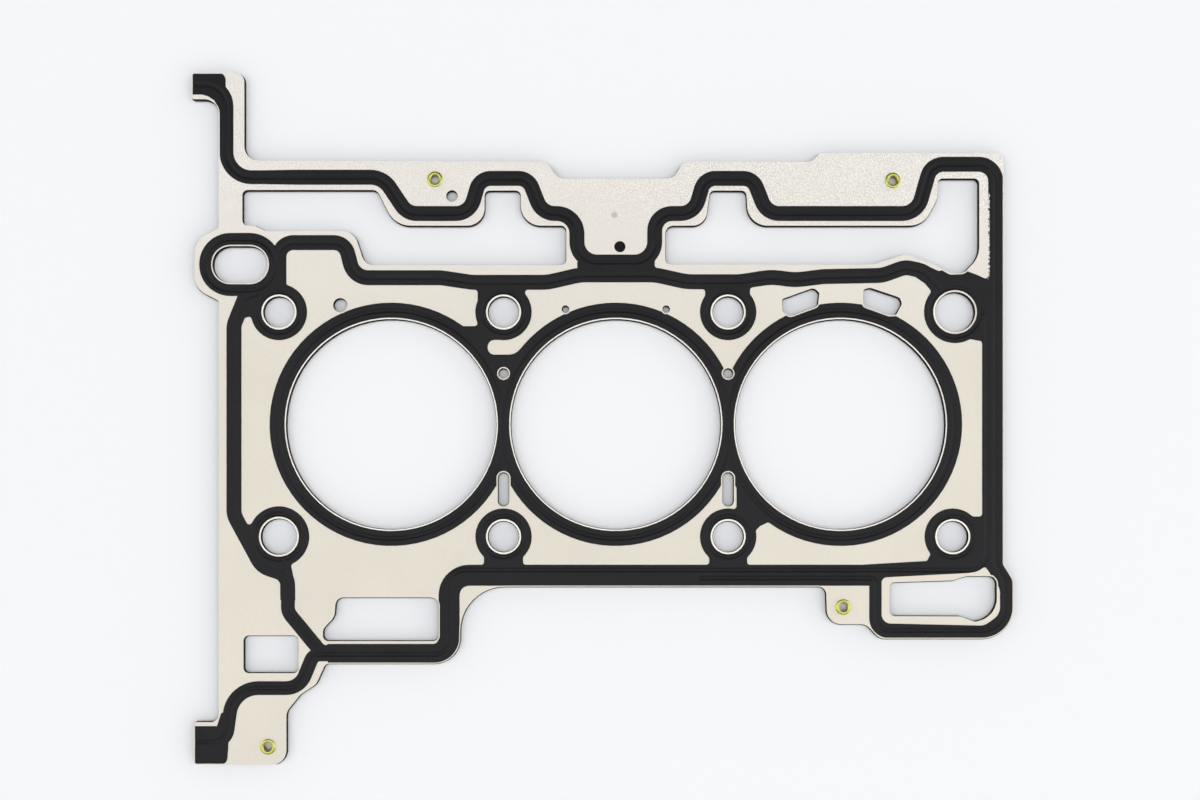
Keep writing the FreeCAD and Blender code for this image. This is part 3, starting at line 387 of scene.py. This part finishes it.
def coat_and_shade_edge(material):
    """Thick edge of the spacer's black coat, a little proud of the sheets and run down over the lower one; it
    stands partly for the coat and partly for shade along the cut edges, and reaches further as shade on edges
    that face -Y.
    """
    shape = bmesh.new()
    shape.from_mesh(NODES["spacer_layer"].data)
    bmesh.ops.remove_doubles(shape, verts=shape.verts, dist=1e-7)
    rim, outward = cut_rim(shape)
    (low_x, low_y, _), (high_x, high_y, _) = SIZE_AT_LOAD
    (_, _, foot), (_, _, top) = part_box("spacer_layer")
    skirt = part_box("lower_layer")[0][2] + 0.05 * MM
    section = ((-0.02, top), (0.15, top - 0.03 * MM), (0.22, top - 0.15 * MM), (0.22, skirt + 0.12 * MM),
               (0.15, skirt), (0.03, skirt), (0.03, foot), (-0.02, foot))
    count = len(section)
    number, points, faces = {}, [], []
    for vertex, side in outward.items():
        number[vertex] = len(points)
        # Painted shade: the coat reaches further on edges that face -Y and less on those that face +Y.
        shade_lean = 1 - COAT_SHADE_SHIFT * side.y
        for reach, z in section:
            x, y = vertex.co.x + side.x * reach * shade_lean * MM, vertex.co.y + side.y * reach * shade_lean * MM
            points.append((min(max(x, low_x), high_x), min(max(y, low_y), high_y), z))
    for edge in rim:
        a, b = (number[vertex] for vertex in edge.verts)
        faces += [(a + k, a + (k + 1) % count, b + (k + 1) % count, b + k) for k in range(count)]
    shape.free()
    piece = mesh_piece("spacer_coat_and_shade_edge", points, faces)
    shape = bmesh.new()
    shape.from_mesh(piece.data)
    bmesh.ops.recalc_face_normals(shape, faces=shape.faces)
    shape.to_mesh(piece.data)
    shape.free()
    on_the_gasket(piece, material)


def make_camera():
    """Camera straight above the gasket's lower half, with the frame shifted up over the whole of it."""
    height, frame_width = 360 * MM, 416.7 * MM
    data = bpy.data.cameras.new("camera")
    data.sensor_width = 36
    data.lens = 36 * height / frame_width
    data.shift_y = 0.075
    data.clip_start, data.clip_end = 0.01, 20
    camera = bpy.data.objects.new("camera", data)
    camera.location = (-5.5 * MM, -22.8 * MM, height + 2 * MM)
    bpy.context.scene.collection.objects.link(camera)
    bpy.context.scene.camera = camera


def front_lamp():
    """Wide soft lamp low at the front, unseen in the gloss."""
    place = Vector((1.6, -2.0, 0.85))
    data = bpy.data.lights.new("front_lamp", "AREA")
    data.shape = "RECTANGLE"
    data.size, data.size_y = 1.4, 0.8
    data.energy = LAMP_POWER
    lamp = bpy.data.objects.new("front_lamp", data)
    lamp.location = place
    lamp.rotation_euler = (-place).to_track_quat("-Z", "Y").to_euler()
    lamp.visible_glossy = False
    bpy.context.scene.collection.objects.link(lamp)


def light_room():
    """Long softbox overhead, a low window to the right, light from low all round and a dimmer room behind."""
    world = bpy.data.worlds.new("studio")
    bpy.context.scene.world = world
    world.use_nodes = True
    tree = world.node_tree
    tree.nodes.clear()
    output = tree.nodes.new("ShaderNodeOutputWorld")
    glow = tree.nodes.new("ShaderNodeBackground")
    tree.links.new(glow.outputs["Background"], output.inputs["Surface"])
    right, back, up = axes_of(tree, tree.nodes.new("ShaderNodeTexCoord").outputs["Generated"])
    room = calculated(tree, "MULTIPLY", spread(tree, back, 0.1, 0.7, ROOM_LEVEL, 0.1 * ROOM_LEVEL),
                      spread(tree, back, -0.5, 0.1, 1.3, 1.0))
    strip = calculated(tree, "MULTIPLY", spread(tree, back, 0.24, 0.40, SOFTBOX_LEVEL, 0),
                       spread(tree, back, -0.42, -0.22, 0, 1))
    softbox = calculated(tree, "MULTIPLY", strip, spread(tree, up, 0.28, 0.6, 0, 1))
    window = calculated(tree, "MULTIPLY", spread(tree, right, 0.55, 0.85, 0, WINDOW_LEVEL),
                        spread(tree, up, 0.12, 0.4, 1, 0))
    low = spread(tree, up, 0.05, 0.42, LOW_LEVEL, 0)
    strength = room
    for light in (softbox, window, low):
        strength = calculated(tree, "ADD", strength, light)
    tree.links.new(strength, glow.inputs["Strength"])
    colour = blended(tree, spread(tree, up, 0.15, 0.5, 0, 1), LOW_LIGHT, HIGH_LIGHT)
    tree.links.new(colour, glow.inputs["Color"])
    front_lamp()


def make_floor():
    reach = 3.0
    corners = [(-reach, -reach, 0), (reach, -reach, 0), (reach, reach, 0), (-reach, reach, 0)]
    floor = mesh_piece("floor", corners, [(0, 1, 2, 3)])
    floor.data.materials.append(floor_paper())


bpy.context.scene.view_settings.view_transform = "Standard"
make_camera()
light_room()
make_floor()
dress(sheet_steel(), "upper_layer", "lower_layer")
dress(sealing_film(), "upper_coating", "lower_coating")
coat, brass = spacer_steel(), eyelet_brass()
dress(coat, "spacer_layer")
dress(brass, *EYELETS)
coat_and_shade_edge(coat)
for node in EYELETS:
    rolled_eyelet(node, brass)
